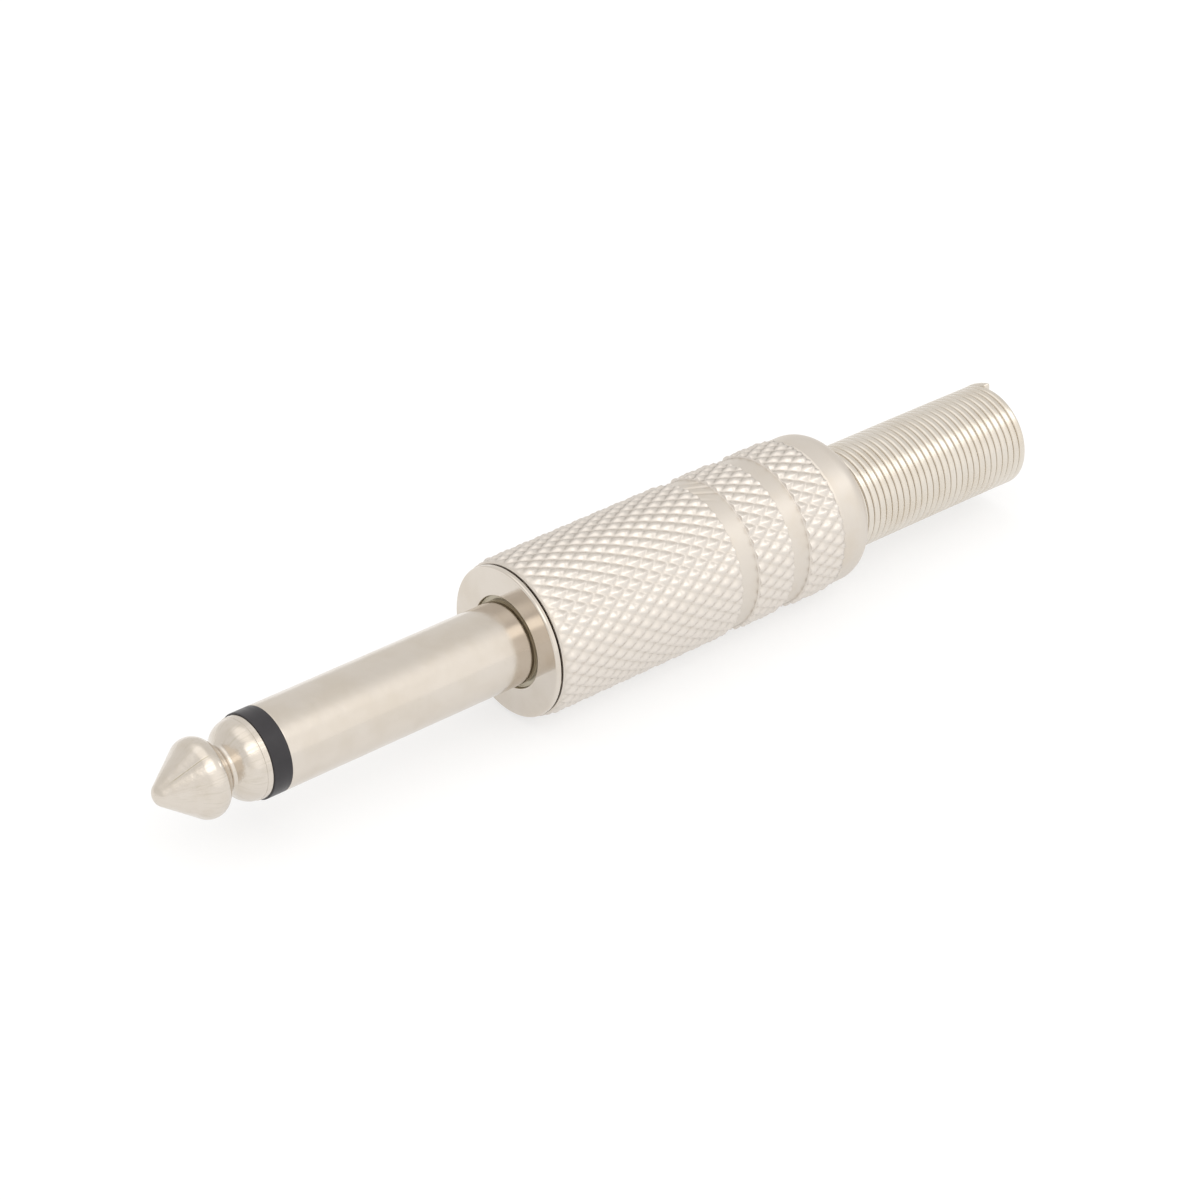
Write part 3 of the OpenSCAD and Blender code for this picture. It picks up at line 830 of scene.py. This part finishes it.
def spring_piece():
    """Spring: a wire section on a right-hand helix that narrows from its wide end and sags in its throat.

    The section is a circle whose sine and cosine are raised to a power below 1, which flattens its faces.
    At the cut end it shrinks with the cosine of an angle and moves on with the sine, which rounds it off."""
    start_x = barrel_end - throat_l - bore_r + throat_r - (flare_turns + 1)*spring_pitch
    turns = (spring_end - wire_r*math.cos(math.pi/cad_wire_sides) - start_x)/spring_pitch
    rings = int(turns*turn_steps)
    cap = np.radians(np.linspace(0, cut_arc, cut_steps))[1:]
    cut_turns = cut_round*wire_r/(TURN*spring_r)
    back = np.concatenate([(rings - np.arange(rings + 1))/turn_steps, -cut_turns*np.sin(cap)])
    size = wire_r*np.concatenate([np.ones(rings + 1), np.cos(cap)])[:, None]
    t = (turns - back)[:, None]
    a = (end_angle - TURN*back)[:, None]
    taper = np.clip(t - flare_turns, 0, 1)
    taper = taper*taper*(3 - 2*taper)
    kick = end_kick*np.clip(1 - back[:, None]/kick_turns, 0, 1)**2
    w = TURN*np.arange(wire_sides)/wire_sides
    out, along = (np.sign(wave)*np.abs(wave)**wire_flat for wave in (np.cos(w), np.sin(w)))
    r = flare_r - wire_r - taper*(flare_r - spring_r) + kick + size*out
    x = start_x + t*spring_pitch + size*along
    hang = np.clip((start_x + t*spring_pitch - barrel_end)/(spring_end - barrel_end), 0, 1)
    sag = spring_sag*taper + spring_droop*hang*hang
    points = np.stack([x, r*np.cos(a), r*np.sin(a) - sag], axis=-1)
    index = np.arange(len(back)*wire_sides).reshape(-1, wire_sides)
    return points, [ring_faces(index, False), index[:1, ::-1], index[-1:]]


turned_solid(
    "tip", tip_piece(), FINE_TURN,
    material=tip_nickel, body="plug_body", node="tip_contact", slot="bright_nickel",
)
turned_tube(
    "insulating_ring",
    rounded([
        [rod_r + fit_gap, ring_x, 0.05], [shank_r, ring_x, 0.05], [shank_r, shank_x, 0.04],
        [shank_bore_r - fit_gap, shank_x, 0.05], [shank_bore_r - fit_gap, tube_end, 0.1],
        [rod_r + fit_gap, tube_end, 0.1],
    ]),
    PLAIN_TURN, material=black_insulator, body="plug_body", node="tip_insulator", slot="black_insulator",
)
turned_tube(
    "shank_sleeve",
    rounded([
        [shank_bore_r, shank_x, 0.05], [shank_r, shank_x, 0.04], [shank_r, relief_at, 0.03],
        [shank_r - root_relief, relief_at, 0.04], [shank_r - root_relief, recess_depth, 0.03],
        [spigot_r, recess_depth, 0.03], [spigot_r, shank_end - rivet_edge_h, 0.03],
        [rivet_edge_r, shank_end - rivet_edge_h, 0.06], [rivet_edge_r, shank_end - rivet_edge_h/2, 0.06],
        [spigot_r, shank_end, 0.06], [shank_bore_r, shank_end, 0.05],
    ]),
    FINE_TURN, material=shank_nickel, body="plug_body", node="shank", slot="shank_nickel",
)
collar_points, collar_faces, collar_shade = collar_piece()
make_piece(
    "threaded_collar", collar_points, collar_faces, shade_and_wear=collar_shade,
    material=bright_nickel, body="plug_body", node="collar", slot="bright_nickel",
)
barrel_points, barrel_faces, barrel_shade_and_wear = barrel_piece()
make_piece(
    "knurled_barrel", barrel_points, barrel_faces, shade_and_wear=barrel_shade_and_wear,
    material=satin_nickel, body="barrel_body", node="barrel", slot="satin_nickel",
)
make_piece(
    "coil_spring", *spring_piece(),
    material=spring_wire, body="spring_body", node="relief_spring", slot="spring_wire",
)
inner_finishes = {"rear_bush": fibre, "sleeve_lug": lug_tin, "tip_lug": lug_tin, "liner": film}
for node_name, finish in inner_finishes.items():
    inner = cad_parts[node_name].data.materials
    inner.clear()
    inner.append(finish)


# Studio: camera as the photograph's, pale floor, soft light
PHOTO_PIXELS = 1200
FOCAL_PIXELS = 3822.6
camera_place = Vector((-143.18, -179.30, 145.82))*MM
camera_right = Vector((0.763, -0.6465, 0))
camera_up = Vector((0.3408, 0.4021, 0.8498))
camera_roll = math.radians(0.2)
# Pale surround: its tint, its level, how that changes towards +X and +Y, and the level that the camera sees
STUDIO_TINT = (1, 0.985, 0.965, 1)
surround_level = 0.86
surround_x = -0.05
surround_y = -0.03
white_level = 1.05
# Soft lights: direction, cosine of the angle where the light starts and where it is full, and its strength
SOFT_LIGHTS = [
    ((0.25, -0.9, 0.35), 0.2, 1.0, 0.34),
    ((-0.1, 0.2, 1), 0.8, 0.98, 0.45),
    ((0.45, 0.85, 0.2), 0.3, 1.0, 0.08),
]
# Strip light along the plug: its angle round the X axis, how far from there it is full and where it ends, its
# level, and the parts of the direction along X between which it rises and fades
strip_angle = math.radians(125)
strip_full = math.radians(7)
strip_edge = math.radians(20)
strip_level = 0.8
strip_rise = (-0.74, -0.58)
strip_fade = (0.28, 0.5)
# Gloss light of the spring: the way to it and its distance from the spring's middle, its size and its level,
# and the power per area that gives an area light the level 1
gloss_way = Vector((0.549, -0.48, 0.685))
gloss_away = 80
gloss_ends = (-8, 26)
gloss_width = 22
gloss_level = 0.85
LEVEL_POWER = 4
# Floor: half its side in m, its grey, and the light that it adds where the camera or a gloss sees it
floor_half = 4.0
floor_grey = (0.4, 0.4, 0.4, 1)
floor_lift = 0.62


def photo_camera():
    """A camera at the photograph's place and angle, with its focal length."""
    data = bpy.data.cameras.new("camera")
    data.sensor_width = 36
    data.lens = data.sensor_width*FOCAL_PIXELS/PHOTO_PIXELS
    data.clip_start = 0.01
    data.clip_end = 20
    camera = bpy.data.objects.new("camera", data)
    axes = Matrix((camera_right, camera_up, camera_right.cross(camera_up))).transposed()
    axes = axes.to_4x4() @ Matrix.Rotation(camera_roll, 4, "Z")
    camera.matrix_world = Matrix.Translation(camera_place) @ axes
    bpy.context.scene.collection.objects.link(camera)
    bpy.context.scene.camera = camera


def pale_floor():
    """A wide flat floor under the barrel that looks white and still takes the plug's shadow."""
    level = -peak_r*MM
    corners = [(floor_half*x, floor_half*y, level) for x, y in ((-1, -1), (1, -1), (1, 1), (-1, 1))]
    mesh = bpy.data.meshes.new("floor")
    mesh.from_pydata(corners, [], [(0, 1, 2, 3)])
    material = bpy.data.materials.new("floor")
    material.use_nodes = True
    tree = material.node_tree
    tree.nodes.clear()
    rays = add_node(tree, "ShaderNodeLightPath").outputs
    seen = maths(tree, "MAXIMUM", rays["Is Camera Ray"], rays["Is Glossy Ray"])
    seen = maths(tree, "MAXIMUM", seen, rays["Is Transmission Ray"])
    paper = add_node(tree, "ShaderNodeBsdfDiffuse", {"Color": floor_grey})
    strength = maths(tree, "MULTIPLY", seen, floor_lift)
    lift = add_node(tree, "ShaderNodeEmission", {"Color": (1, 1, 1, 1), "Strength": strength})
    both = add_node(tree, "ShaderNodeAddShader", {0: paper.outputs[0], 1: lift.outputs[0]})
    add_node(tree, "ShaderNodeOutputMaterial", {"Surface": both.outputs[0]})
    mesh.materials.append(material)
    floor = bpy.data.objects.new("floor", mesh)
    bpy.context.scene.collection.objects.link(floor)


def spring_gloss_light():
    """A soft rectangle of light over the spring, seen only in gloss, as a bright line along the coils."""
    length = gloss_ends[1] - gloss_ends[0]
    data = bpy.data.lights.new("spring_gloss", "AREA")
    data.shape = "RECTANGLE"
    data.size, data.size_y = length*MM, gloss_width*MM
    data.energy = LEVEL_POWER*gloss_level*data.size*data.size_y
    lamp = bpy.data.objects.new("spring_gloss", data)
    way = gloss_way.normalized()
    along = (Vector((1, 0, 0)) - way*way.x).normalized()
    place = Vector(((barrel_end + spring_end)/2, 0, -spring_sag)) + way*gloss_away + along*sum(gloss_ends)/2
    axes = Matrix((along, way.cross(along), way)).transposed()
    lamp.matrix_world = Matrix.Translation(place*MM) @ axes.to_4x4()
    lamp.visible_camera = False
    lamp.visible_diffuse = False
    bpy.context.scene.collection.objects.link(lamp)


def studio_world():
    """A pale surround that is white to the camera, with a strip light and soft lights that rise smoothly."""
    world = bpy.data.worlds.new("studio")
    bpy.context.scene.world = world
    world.use_nodes = True
    tree = world.node_tree
    way = add_node(tree, "ShaderNodeTexCoord").outputs["Generated"]
    x, y, z = add_node(tree, "ShaderNodeSeparateXYZ", {0: way}).outputs
    level = maths(tree, "MULTIPLY_ADD", x, surround_x, surround_level)
    level = maths(tree, "MULTIPLY_ADD", y, surround_y, level)
    round_x = maths(tree, "SUBTRACT", maths(tree, "ARCTAN2", z, y), strip_angle)
    strip = spread(tree, maths(tree, "ABSOLUTE", round_x), strip_full, strip_edge, strip_level, 0)
    strip = maths(tree, "MULTIPLY", strip, spread(tree, x, *strip_fade, 1, 0))
    level = maths(tree, "MULTIPLY_ADD", strip, spread(tree, x, *strip_rise), level)
    for place, edge, full, strength in SOFT_LIGHTS:
        ends = {0: way, 1: Vector(place).normalized()}
        facing = add_node(tree, "ShaderNodeVectorMath", ends, operation="DOT_PRODUCT").outputs["Value"]
        level = maths(tree, "ADD", level, spread(tree, facing, edge, full, 0, strength))
    seen = add_node(tree, "ShaderNodeLightPath").outputs["Is Camera Ray"]
    level = maths(tree, "MAXIMUM", level, maths(tree, "MULTIPLY", seen, white_level))
    tree.nodes["Background"].inputs["Color"].default_value = STUDIO_TINT
    tree.links.new(level, tree.nodes["Background"].inputs["Strength"])


photo_camera()
pale_floor()
studio_world()
spring_gloss_light()
bpy.context.scene.view_settings.view_transform = "Standard"
